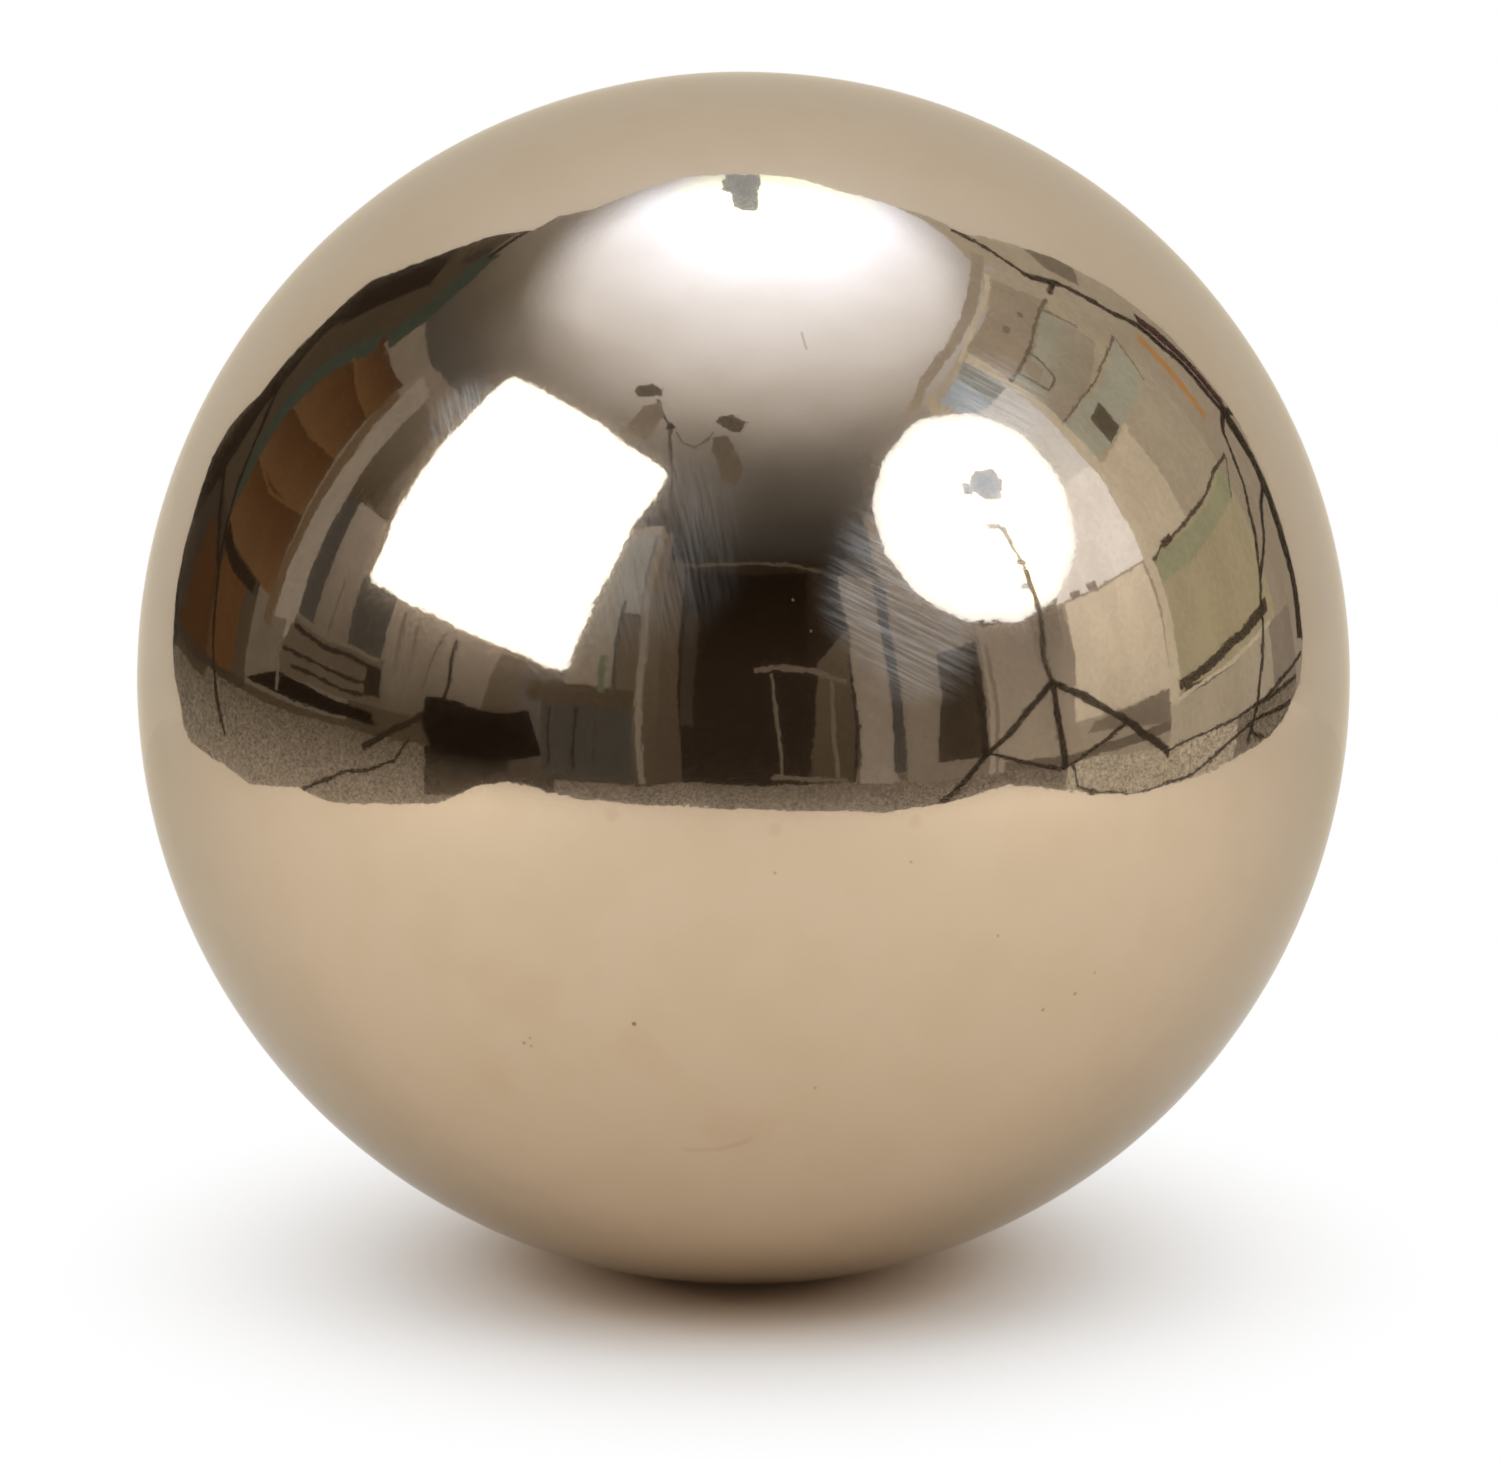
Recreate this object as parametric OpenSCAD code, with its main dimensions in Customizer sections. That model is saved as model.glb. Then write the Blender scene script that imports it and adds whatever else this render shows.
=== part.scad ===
// Garden sphere: a closed hollow ball of thin stainless sheet, polished all over to a mirror.
// Two pressed half shells are butt welded round the middle, and the weld is ground and polished
// away, so the ball is one piece with no seam, hole, stem or foot left to see.
// The origin is the lowest point, where the ball touches the ground. The centre is straight above it.

/* [Ball] */
// Outside diameter of the ball
ball_d = 300; // [100:5:500]
// Thickness of the sheet wall
wall = 0.8; // [0.5:0.1:2]

/* [Hidden] */
// Outside radius, which is also the height of the centre above the ground
ball_r = ball_d / 2;
// Radius of the sealed hollow
hollow_r = ball_r - wall;
// Facets round the ball in the preview mesh
$fn = 128;
// Warm pale champagne of the polished metal
champagne = [0.80, 0.71, 0.59];

// The whole closed ball: one even wall round a sealed hollow
module sphere_shell() {
    color(champagne)
        translate([0, 0, ball_r])
            difference() {
                sphere(r = ball_r);
                sphere(r = hollow_r);
            }
}

sphere_shell();
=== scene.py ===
import math

import bmesh
import bpy
import numpy as np
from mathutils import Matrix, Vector


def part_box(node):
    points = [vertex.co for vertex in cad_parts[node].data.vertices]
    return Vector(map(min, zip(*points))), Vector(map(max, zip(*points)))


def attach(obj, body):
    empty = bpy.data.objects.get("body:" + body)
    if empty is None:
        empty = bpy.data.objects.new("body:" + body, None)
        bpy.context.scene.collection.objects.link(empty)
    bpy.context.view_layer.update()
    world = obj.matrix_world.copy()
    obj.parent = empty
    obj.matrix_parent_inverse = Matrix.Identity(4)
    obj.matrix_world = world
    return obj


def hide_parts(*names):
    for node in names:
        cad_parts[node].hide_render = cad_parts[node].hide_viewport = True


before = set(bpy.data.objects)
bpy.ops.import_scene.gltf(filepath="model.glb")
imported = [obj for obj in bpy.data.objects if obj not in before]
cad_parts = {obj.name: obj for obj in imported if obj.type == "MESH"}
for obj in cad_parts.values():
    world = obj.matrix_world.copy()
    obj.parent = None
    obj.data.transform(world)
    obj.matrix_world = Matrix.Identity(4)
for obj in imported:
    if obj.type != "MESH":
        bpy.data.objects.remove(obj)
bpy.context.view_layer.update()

# Polished ball
# The whole object is one hollow ball of thin stainless sheet. Two pressed halves are butt welded round
# the middle, ground flush and buffed to a mirror with a warm champagne tone. The buffing leaves the skin
# a few hundredths of a millimetre out of true, which is what makes mirrored edges wander.
lowest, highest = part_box("sphere_shell")
ball_radius = (highest.z - lowest.z) / 2
ball_centre = Vector((0.0, 0.0, lowest.z + ball_radius))


def cube_ball(cuts_per_side):
    """Unit ball made of six square patches, so that no point of it is a pole."""
    skin = bmesh.new()
    bmesh.ops.create_cube(skin, size=2.0)
    bmesh.ops.subdivide_edges(skin, edges=skin.edges[:], cuts=cuts_per_side, use_grid_fill=True)
    for corner in skin.verts:
        even = [math.tan(side * math.pi / 4) for side in corner.co]
        corner.co = Vector(even).normalized()
    return skin


def buffing_waves(directions, length_mm, height_um, how_many, seed):
    """Height in metres of many faint waves that cross the ball in all directions."""
    draw = np.random.RandomState(seed)
    heights = np.zeros(len(directions))
    for _ in range(how_many):
        way = draw.normal(size=3)
        way /= np.linalg.norm(way)
        length = length_mm * draw.uniform(0.7, 1.5) / 1000
        turns = directions @ way * ball_radius * 2 * math.pi / length
        heights += np.cos(turns + draw.uniform(0, 2 * math.pi))
    return heights * height_um * 1e-6 / math.sqrt(how_many / 2)


ball_skin = cube_ball(cuts_per_side=127)
ball_mesh = bpy.data.meshes.new("polished_ball")
ball_skin.to_mesh(ball_mesh)
ball_skin.free()
directions = np.zeros(len(ball_mesh.vertices) * 3)
ball_mesh.vertices.foreach_get("co", directions)
directions = directions.reshape(-1, 3)
directions /= np.linalg.norm(directions, axis=1, keepdims=True)
swell = buffing_waves(directions, length_mm=60, height_um=18, how_many=40, seed=3)
ripple = buffing_waves(directions, length_mm=12, height_um=6, how_many=90, seed=5)
skin_points = directions * (ball_radius + swell + ripple)[:, None] + np.array(ball_centre)
ball_mesh.vertices.foreach_set("co", skin_points.ravel())
ball_mesh.shade_smooth()
ball = bpy.data.objects.new("polished_ball", ball_mesh)
bpy.context.scene.collection.objects.link(ball)
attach(ball, "root")
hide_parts("sphere_shell")

# Champagne finish
# The skin is bare metal with a warm champagne tone, a little paler towards grazing light. Buffing leaves
# a fine orange peel, and scratches too fine to see that soften the edges of mirrored lamps. Wiping left
# hairlines and smudges, and a few specks and stains are put where the picture shows them.
champagne, champagne_dull = (0.60, 0.455, 0.31, 1.0), (0.588, 0.443, 0.297, 1.0)
champagne_rim = (0.82, 0.83, 0.80, 1.0)
stain, smudge, dust_grey = (0.26, 0.15, 0.07, 1.0), (0.50, 0.33, 0.20, 1.0), (0.8, 0.78, 0.74, 1.0)
peel_length, peel_height = 0.0019, 5.5e-6
scratch_length, clear_roughness, scratched_roughness = 0.0001, 0.03, 0.17
streaks_along, streaks_across = 9, 170
ball_radius_px, ball_x_px, ball_y_px = 606.5, 743.5, 678.3
camera_elevation = math.radians(12)
camera_distance = 14 * ball_radius
to_camera = Vector((0.0, -math.cos(camera_elevation), math.sin(camera_elevation)))
picture_right = Vector((1, 0, 0))
picture_up = to_camera.cross(picture_right)
pixel = math.tan(math.asin(ball_radius / camera_distance)) / ball_radius_px
polished = bpy.data.materials.new("polished_champagne_steel")
polished.use_nodes = True
nodes, links = polished.node_tree.nodes, polished.node_tree.links
metal = nodes["Principled BSDF"]


def spot_on_ball(x_px, y_px):
    """The direction from the ball's centre to the point that shows at a pixel of the picture."""
    sight = picture_right * (x_px - ball_x_px) * pixel - picture_up * (y_px - ball_y_px) * pixel - to_camera
    sight.normalize()
    along = -sight.dot(to_camera) * camera_distance
    short = math.sqrt(along ** 2 - camera_distance ** 2 + ball_radius ** 2)
    return ((to_camera * camera_distance + sight * (along - short)) / ball_radius).normalized()


def put(socket, value):
    """Link a socket to another one, or set it to a plain value."""
    if isinstance(value, bpy.types.NodeSocket):
        links.new(value, socket)
    else:
        socket.default_value = value


def number(operation, first, second=0.0):
    step = nodes.new("ShaderNodeMath")
    step.operation = operation
    put(step.inputs[0], first)
    put(step.inputs[1], second)
    return step.outputs[0]


def vector(operation, first, second=(0, 0, 0)):
    step = nodes.new("ShaderNodeVectorMath")
    step.operation = operation
    put(step.inputs[0], first)
    put(step.inputs[1], second)
    gives_a_number = operation in ("LENGTH", "DISTANCE", "DOT_PRODUCT")
    return step.outputs["Value" if gives_a_number else "Vector"]


def ranged(value, low, high, to_low, to_high):
    step = nodes.new("ShaderNodeMapRange")
    step.interpolation_type = "SMOOTHSTEP"
    given = {"Value": value, "From Min": low, "From Max": high, "To Min": to_low, "To Max": to_high}
    for name in given:
        put(step.inputs[name], given[name])
    return step.outputs["Result"]


def cloud(place, scale, detail):
    """Soft noise over a place, from 0 to 1."""
    step = nodes.new("ShaderNodeTexNoise")
    put(step.inputs["Vector"], place)
    put(step.inputs["Scale"], scale)
    put(step.inputs["Detail"], detail)
    return step.outputs["Fac"]


def mixed(blend_type, share, first, second):
    step = nodes.new("ShaderNodeMix")
    step.data_type = "RGBA"
    step.blend_type = blend_type
    put(step.inputs["Factor"], share)
    put(step.inputs[6], first)
    put(step.inputs[7], second)
    return step.outputs[2]


place = nodes.new("ShaderNodeTexCoord").outputs["Object"]
skin_way = vector("NORMALIZE", vector("SUBTRACT", place, tuple(ball_centre)))
patches = cloud(skin_way, 8.0, 3.0)
colour = mixed("MIX", ranged(patches, 0.42, 0.66, 0.0, 1.0), champagne, champagne_dull)


def dots(size_px, share, places_px):
    """A mask of small round dots of one size on the skin, soft at their edge."""
    nearest = 9.0
    for at_px in places_px:
        nearest = number("MINIMUM", nearest, vector("DISTANCE", skin_way, tuple(spot_on_ball(*at_px))))
    size = size_px / ball_radius_px
    return ranged(nearest, 0.4 * size, size, share, 0.0)


def arc_stain(at_px, round_px, length_px, width_px, share):
    """A mask in the shape of a short thin arc that bends round a point."""
    bend_centre = spot_on_ball(*round_px)
    at = spot_on_ball(*at_px)
    bend = (at - bend_centre).length
    from_centre = vector("DISTANCE", skin_way, tuple(bend_centre))
    off_line = number("ABSOLUTE", number("SUBTRACT", from_centre, bend))
    width, half_length = width_px / ball_radius_px, length_px / ball_radius_px / 2
    on_line = ranged(off_line, 0.3 * width, width, share, 0.0)
    within = ranged(vector("DISTANCE", skin_way, tuple(at)), 0.7 * half_length, half_length, 1.0, 0.0)
    return number("MULTIPLY", on_line, within)


def broad_patches(name, patches_px, edge):
    """Soft round patches, kept as a value at each point of the skin, with their edge drawn in or out."""
    cover = np.zeros(len(directions))
    for at_px, size_px, share in patches_px:
        away = np.linalg.norm(directions - np.array(spot_on_ball(*at_px)), axis=1) * edge
        size = size_px / ball_radius_px
        inward = np.clip((size - away) / (0.6 * size), 0, 1)
        cover = np.maximum(cover, share * inward * inward * (3 - 2 * inward))
    ball_mesh.attributes.new(name, "FLOAT", "POINT").data.foreach_set("value", cover)
    kept = nodes.new("ShaderNodeAttribute")
    kept.attribute_name = name
    return kept.outputs["Fac"]


dark_specks = [
    (3.1, 0.9, [(634, 1024)]),
    (2.6, 0.55, [(524, 1043), (1340, 735), (1043, 1010), (1075, 994)]),
    (2.1, 0.45, [(531, 1046), (530, 1038), (775, 873), (911, 862), (1095, 973), (998, 936), (815, 1088)]),
]
for size_px, share, places_px in dark_specks:
    colour = mixed("MIX", dots(size_px, share, places_px), colour, stain)
colour = mixed("MIX", dots(9.5, 0.25, [(775, 830), (612, 815), (915, 822)]), colour, smudge)
smudges = [
    ((520, 995), 54, 0.12), ((645, 1058), 32, 0.13), ((737, 1130), 42, 0.12), ((985, 958), 36, 0.08),
    ((1098, 830), 52, 0.08), ((490, 1075), 28, 0.11), ((430, 950), 38, 0.06),
]
ragged = 1 + buffing_waves(directions, length_mm=14, height_um=2.2e5, how_many=40, seed=7)
colour = mixed("MIX", broad_patches("smudges", smudges, ragged), colour, smudge)
thin_stains = [((718, 1149), (690, 1080), 84, 5.0, 0.12), ((804, 341), (1000, 330), 24, 2.0, 0.4)]
for thin_stain in thin_stains:
    colour = mixed("MIX", arc_stain(*thin_stain), colour, stain)
dust = dots(1.8, 0.15, [(881, 564), (793, 600), (811, 631)])
colour = mixed("MIX", dust, colour, dust_grey)
put(metal.inputs["Base Color"], colour)
put(metal.inputs["Metallic"], number("SUBTRACT", 1.0, dust))
put(metal.inputs["Specular Tint"], champagne_rim)
scratched = cloud(place, 1 / scratch_length, 0.0)
put(metal.inputs["Roughness"], ranged(scratched, 0.58, 0.73, clear_roughness, scratched_roughness))

peel = nodes.new("ShaderNodeBump")
put(peel.inputs["Strength"], 1.0)
put(peel.inputs["Distance"], peel_height)
put(peel.inputs["Height"], cloud(place, 1 / peel_length, 1.5))
links.new(peel.outputs["Normal"], metal.inputs["Normal"])


def hairlines_down(slope):
    """Fine side by side streaks over the whole skin, which run down to the right by a slope in degrees."""
    tilt = math.radians(slope)
    along = picture_right * math.cos(tilt) - picture_up * math.sin(tilt)
    across = picture_right * math.sin(tilt) + picture_up * math.cos(tilt)
    brushed = nodes.new("ShaderNodeCombineXYZ")
    put(brushed.inputs["X"], vector("DOT_PRODUCT", skin_way, tuple(along * streaks_along)))
    put(brushed.inputs["Y"], vector("DOT_PRODUCT", skin_way, tuple(across * streaks_across)))
    return ranged(cloud(brushed.outputs["Vector"], 1.0, 2.0), 0.37, 0.65, 0.32, 1.1)


haze_patches = [
    (27, [((896, 556), 68, 0.36), ((885, 596), 72, 0.4), ((915, 632), 80, 0.33), ((1000, 405), 65, 0.4)]),
    (78, [((632, 540), 122, 0.14), ((466, 418), 50, 0.34)]),
]
haze = 0.0
for slope, patches_px in haze_patches:
    wiped = broad_patches("wiped_%d" % slope, patches_px, 1.0)
    haze = number("MAXIMUM", haze, number("MULTIPLY", wiped, hairlines_down(slope)))
put(metal.inputs["Sheen Weight"], haze)
put(metal.inputs["Sheen Roughness"], 1.0)
ball_mesh.materials.append(polished)

# White ground
# The ball stands on a plain white sheet that takes its shadow and fills the lower half of the mirror.
# Right under the ball a painted warm shade darkens it, and close behind the ball a painted warm light,
# as if thrown back from the ball, tints it. A little way out the ground is simply white to the camera,
# so that no edge of it shows.
reach = 300 * ball_radius
far = 3 * reach
below = -0.0005
# the second ground colour is a painted warm light thrown back from the ball
ground_white, ground_painted_bounce = (0.9, 0.9, 0.9, 1.0), (0.9, 0.835, 0.73, 1.0)
# a painted warm shade on the ground right under the ball
painted_shade_under_ball = (0.8, 0.64, 0.46, 1.0)
white_outline = [
    (-5.2, 3.4), (-4.7, 2.85), (-4.35, 2.25), (-4.4, 1.1), (-4.2, 0.4), (-4.5, -0.5), (-4.1, -1.1),
    (-3.95, -1.9), (-3.9, -2.9), (-4.7, -4.5), (-5.0, -5.55), (-4.4, -5.8), (-2.9, -5.55), (-1.9, -5.7),
    (-0.9, -5.8), (0.0, -5.75), (1.0, -5.3), (2.0, -4.8), (2.8, -4.65), (4.2, -4.75), (4.87, -4.65),
    (4.85, -3.7), (4.6, -2.9), (4.36, -1.7), (4.7, -1.1), (5.0, -0.3), (5.3, 0.85), (5.57, 1.76),
    (5.9, 2.6), (6.4, 3.4),
]


def stage_mesh(name, points, faces):
    """A piece of the studio, which is not part of the object."""
    mesh = bpy.data.meshes.new(name)
    mesh.from_pydata([tuple(p) for p in points], [], faces)
    stage_piece = bpy.data.objects.new(name, mesh)
    bpy.context.scene.collection.objects.link(stage_piece)
    return stage_piece


def seen_or_mirrored():
    """A socket that is 1 for what the camera sees, straight, mirrored or through something clear."""
    ray = nodes.new("ShaderNodeLightPath").outputs
    straight_or_mirrored = number("MAXIMUM", ray["Is Camera Ray"], ray["Is Glossy Ray"])
    return number("MAXIMUM", straight_or_mirrored, ray["Is Transmission Ray"])


def painted_bounce_mask(place):
    """A mask of the ground and sheet close behind the ball, where the ball's warm light is painted in."""
    from_behind = vector("DISTANCE", place, (0.0, 4 * ball_radius, 0.0))
    return ranged(from_behind, 2.2 * ball_radius, 4.2 * ball_radius, 1.0, 0.0)


ground_paint = bpy.data.materials.new("white_ground")
ground_paint.use_nodes = True
nodes, links = ground_paint.node_tree.nodes, ground_paint.node_tree.links
nodes.clear()
ground_out = nodes.new("ShaderNodeOutputMaterial")
matt = nodes.new("ShaderNodeBsdfDiffuse")
bare_white = nodes.new("ShaderNodeEmission")
place = nodes.new("ShaderNodeTexCoord").outputs["Object"]
away = vector("LENGTH", place)
# painted warm shade on the ground right under the ball
painted_shade_mask = ranged(away, 0.1 * ball_radius, 0.7 * ball_radius, 1.0, 0.0)
# painted warm light from the ball on the ground close behind it
ground_tone = mixed("MIX", painted_bounce_mask(place), ground_white, ground_painted_bounce)
put(matt.inputs["Color"], mixed("MIX", painted_shade_mask, ground_tone, painted_shade_under_ball))
ray = nodes.new("ShaderNodeLightPath").outputs
fade_seen = ranged(away, 0.3 * ball_radius, 1.2 * ball_radius, 0.0, ray["Is Camera Ray"])
fade_mirrored = ranged(away, 4.4 * ball_radius, 9.0 * ball_radius, 0.0, seen_or_mirrored())
blend = nodes.new("ShaderNodeMixShader")
links.new(number("MAXIMUM", fade_seen, fade_mirrored), blend.inputs["Fac"])
links.new(matt.outputs["BSDF"], blend.inputs[1])
links.new(bare_white.outputs["Emission"], blend.inputs[2])
links.new(blend.outputs["Shader"], ground_out.inputs["Surface"])

outline = [(x * ball_radius, y * ball_radius, 0.0) for x, y in white_outline]
ground = stage_mesh("white_ground", outline, [tuple(range(len(outline)))[::-1]])
ground.data.materials.append(ground_paint)
wide_ground = stage_mesh(
    "wide_ground",
    [(-far, -far, below), (far, -far, below), (far, far, below), (-far, far, below)],
    [(0, 1, 2, 3)],
)
wide_ground.data.materials.append(ground_paint)
wide_ground.visible_glossy = False

# Backing sheet
# The white sheet bends up behind the ball and hangs to well over its height, so a pale band runs round
# the rim of the mirror. Close behind the ball a painted warm light, as if thrown back from the ball, tints
# it, and its upper end carries a faint painted glow for the ceiling lamp shining through it. It is there
# for the mirror only and doesn't stand in the way of any view.
sheet_depth, bend_radius = 4.4 * ball_radius, 1.0 * ball_radius
# the second sheet colour is a painted warm light thrown back from the ball
sheet_white, sheet_painted_bounce = (0.95, 0.95, 0.95, 1.0), (0.95, 0.88, 0.765, 1.0)
# the colour of the painted glow at the sheet's top, for the ceiling lamp shining through
lamp_through_sheet = (0.82, 1.0, 1.3, 1.0)
sheet_bend = [(-5.2, 6.4, 0), (-5.35, 6.35, 30), (-5.2, 6.25, 60), (-5.0, 6.15, 90)]
sheet_outline = [
    (-5.0, 1.0), (6.15, 1.0), (5.75, 2.0), (5.45, 3.0), (5.3, 4.0), (5.15, 5.5), (5.0, 7.7), (4.9, 10.1),
    (3.9, 10.3), (3.0, 10.65), (2.1, 10.7), (1.1, 10.1), (0.3, 9.87), (-1.2, 9.9), (-2.1, 10.4),
    (-3.4, 11.1), (-3.9, 10.2), (-4.75, 10.4), (-4.8, 8.6), (-5.0, 8.0), (-4.95, 6.9), (-4.85, 5.8),
    (-4.6, 5.1), (-4.86, 4.5), (-5.0, 3.7), (-4.95, 3.0), (-4.5, 2.3), (-4.46, 1.95), (-4.86, 1.43),
]


def only_in_the_mirror(stage_piece, lights_the_ground):
    stage_piece.visible_camera = False
    stage_piece.visible_shadow = False
    stage_piece.visible_diffuse = lights_the_ground


points, faces = [], []
for x_left, x_right, degrees in sheet_bend:
    turn = math.radians(degrees)
    y = sheet_depth - bend_radius + bend_radius * math.sin(turn)
    z = bend_radius * (1 - math.cos(turn))
    points += [(x_left * ball_radius, y, z), (x_right * ball_radius, y, z)]
for row in range(0, 2 * len(sheet_bend) - 2, 2):
    faces.append((row, row + 1, row + 3, row + 2))
faces.append(tuple(range(len(points), len(points) + len(sheet_outline))))
points += [(x * ball_radius, sheet_depth, z * ball_radius) for x, z in sheet_outline]
sheet = stage_mesh("backing_sheet", points, faces)
sheet.data.shade_smooth()
sheet_paint = bpy.data.materials.new("white_sheet")
sheet_paint.use_nodes = True
sheet_paint.cycles.emission_sampling = "NONE"
nodes, links = sheet_paint.node_tree.nodes, sheet_paint.node_tree.links
place = nodes.new("ShaderNodeTexCoord").outputs["Object"]
sheet_height = nodes.new("ShaderNodeSeparateXYZ")
links.new(place, sheet_height.inputs["Vector"])
# painted glow that grows towards the sheet's top
painted_glow_through = ranged(sheet_height.outputs["Z"], 3.0 * ball_radius, 11.0 * ball_radius, 0.0, 0.3)
matt_cloth = nodes["Principled BSDF"].inputs
# painted warm light from the ball on the sheet close behind it
put(matt_cloth["Base Color"], mixed("MIX", painted_bounce_mask(place), sheet_white, sheet_painted_bounce))
put(matt_cloth["Roughness"], 1.0)
put(matt_cloth["Specular IOR Level"], 0.0)
put(matt_cloth["Emission Strength"], painted_glow_through)
put(matt_cloth["Emission Color"], lamp_through_sheet)
sheet.data.materials.append(sheet_paint)
only_in_the_mirror(sheet, lights_the_ground=True)

# Soft lamps
# A square soft lamp stands to the left and a round one to the right, both turned to the ball from in
# front and above. Their white cloth fronts are the two hard highlights in the mirror. A nearer light on
# each side, which the mirror doesn't show, stands for the light that they throw on the ground.
lamp_strength = 3.9
light_size, light_power = 3 * ball_radius, 3.2
light_aside, light_ahead, light_height = 5 * ball_radius, 4 * ball_radius, 4 * ball_radius
corner_steps = 5


def seen_from_ball(azimuth, elevation, distance):
    """A point in a direction from the ball: azimuth 0 is the camera's side, positive to its right."""
    a, e = math.radians(azimuth), math.radians(elevation)
    way = Vector((math.sin(a) * math.cos(e), -math.cos(a) * math.cos(e), math.sin(e)))
    return ball_centre + way * distance


def glow_paint(name, strength):
    paint = bpy.data.materials.new(name)
    paint.use_nodes = True
    paint.cycles.emission_sampling = "NONE"
    paint.node_tree.nodes.clear()
    out = paint.node_tree.nodes.new("ShaderNodeOutputMaterial")
    glow = paint.node_tree.nodes.new("ShaderNodeEmission")
    glow.name = "glow"
    glow.inputs["Strength"].default_value = strength
    paint.node_tree.links.new(glow.outputs["Emission"], out.inputs["Surface"])
    return paint


def toned_paint(name, strength):
    """A glow that takes its colour from the tone kept at each corner of a mesh."""
    paint = glow_paint(name, strength)
    tone = paint.node_tree.nodes.new("ShaderNodeAttribute")
    tone.attribute_name = "tone"
    paint.node_tree.links.new(tone.outputs["Color"], paint.node_tree.nodes["glow"].inputs["Color"])
    return paint


def set_tones(stage_piece, tones):
    attribute = stage_piece.data.attributes.new("tone", "FLOAT_COLOR", "POINT")
    attribute.data.foreach_set("color", [value for tone in tones for value in (*tone, 1.0)])


def rounded(corners, cut):
    """The outline with each corner rounded off over the given length."""
    outline = []
    for index, corner in enumerate(corners):
        back = (corners[index - 1] - corner).normalized() * cut
        ahead = (corners[(index + 1) % len(corners)] - corner).normalized() * cut
        for step in range(corner_steps + 1):
            t = step / corner_steps
            outline.append(corner + back * (1 - t) ** 2 + ahead * t ** 2)
    return outline


def cloth_front(name, corners, cut, hem, hem_tone):
    """A lamp's cloth front, which dims over a narrow hem at its edge."""
    edge = rounded(corners, cut)
    middle = sum(edge, Vector()) / len(edge)
    inner = [point + (middle - point).normalized() * hem for point in edge]
    count = len(edge)
    faces = [tuple(range(count))]
    for index in range(count):
        ahead = (index + 1) % count
        faces.append((index, ahead, count + ahead, count + index))
    front = stage_mesh(name, inner + edge, faces)
    set_tones(front, [(1.0, 1.0, 1.0)] * count + [hem_tone] * count)
    front.data.materials.append(toned_paint(name, lamp_strength))
    only_in_the_mirror(front, lights_the_ground=False)


square_corners = [(-82.0, 53.4), (-19.4, 48.8), (-33.9, 10.8), (-79.8, 16.8)]
square_front = [seen_from_ball(a, e, reach) for a, e in square_corners]
cloth_front("square_lamp", square_front, 0.028 * reach, 0.018 * reach, hem_tone=(0.30, 0.40, 0.58))
round_lamp_sides = 12
round_centre = seen_from_ball(54.5, 34.9, reach)
towards_ball = (ball_centre - round_centre).normalized()
across = towards_ball.cross(Vector((0, 0, 1))).normalized()
upwards = across.cross(towards_ball)
round_half_width, round_half_height = 0.36 * reach, 0.335 * reach
round_front = []
for side in range(round_lamp_sides):
    turn = 2 * math.pi * side / round_lamp_sides
    sideways, upright = round_half_width * math.cos(turn), round_half_height * math.sin(turn)
    round_front.append(round_centre + across * sideways + upwards * upright)
cloth_front("round_lamp", round_front, 0.03 * reach, 0.045 * reach, hem_tone=(0.34, 0.44, 0.64))
for name, x in (("square_lamp_light", -light_aside), ("round_lamp_light", light_aside)):
    soft_lamp = bpy.data.lights.new(name, "AREA")
    soft_lamp.size = light_size
    soft_lamp.energy = light_power
    lamp = bpy.data.objects.new(name, soft_lamp)
    bpy.context.scene.collection.objects.link(lamp)
    lamp.location = (x, -light_ahead, light_height)
    lamp.rotation_mode = "QUATERNION"
    lamp.rotation_quaternion = (ball_centre - lamp.location).to_track_quat("-Z", "Y")
    lamp.visible_camera = False
    lamp.visible_glossy = False

# Ceiling
# The ceiling glows with painted light, as if lit from behind the sheet by a lamp that points up, so it
# is brightest over the sheet and falls off towards the camera. Painted shade darkens the rim of the lit
# patch, most at the back and to the left, and a patch towards the camera. It gives the ball its soft
# white cap.
overhead = 1.3 * reach
ceiling_strength = 4.0
edge_shade, dim_end_shade = (0.25, 0.22, 0.175, 1.0), (0.3, 0.24, 0.18, 1.0)
ceiling_height = ball_centre.z + overhead
ceiling = stage_mesh(
    "ceiling",
    [(x, y, ceiling_height) for x, y in ((-far, -far), (far, -far), (far, far), (-far, far))],
    [(0, 1, 2, 3)],
)
# the ceiling's light is painted in as a glow
ceiling_paint = glow_paint("ceiling", ceiling_strength)
nodes, links = ceiling_paint.node_tree.nodes, ceiling_paint.node_tree.links
place = nodes.new("ShaderNodeTexCoord").outputs["Object"]
lit_patch = nodes.new("ShaderNodeMapping")
lit_patch.vector_type = "TEXTURE"
lit_patch.inputs["Location"].default_value = (0.06 * overhead, 0.42 * overhead, ceiling_height)
lit_patch.inputs["Scale"].default_value = (1.6 * overhead, 2.0 * overhead, 1)
links.new(place, lit_patch.inputs["Vector"])
unevenness = ranged(cloud(place, 3.0 / overhead, 1.0), 0.3, 0.7, -0.008, 0.008)
falloff = nodes.new("ShaderNodeValToRGB")
falloff.color_ramp.interpolation = "B_SPLINE"
ceiling_levels = [
    (0.08, 1.0), (0.15, 0.68), (0.21, 0.495), (0.30, 0.355), (0.39, 0.26), (0.44, 0.20), (0.50, 0.145),
    (0.56, 0.085), (0.63, 0.055), (0.72, 0.043), (0.85, 0.017), (1.0, 0.006),
]
while len(falloff.color_ramp.elements) < len(ceiling_levels):
    falloff.color_ramp.elements.new(0.5)
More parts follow.
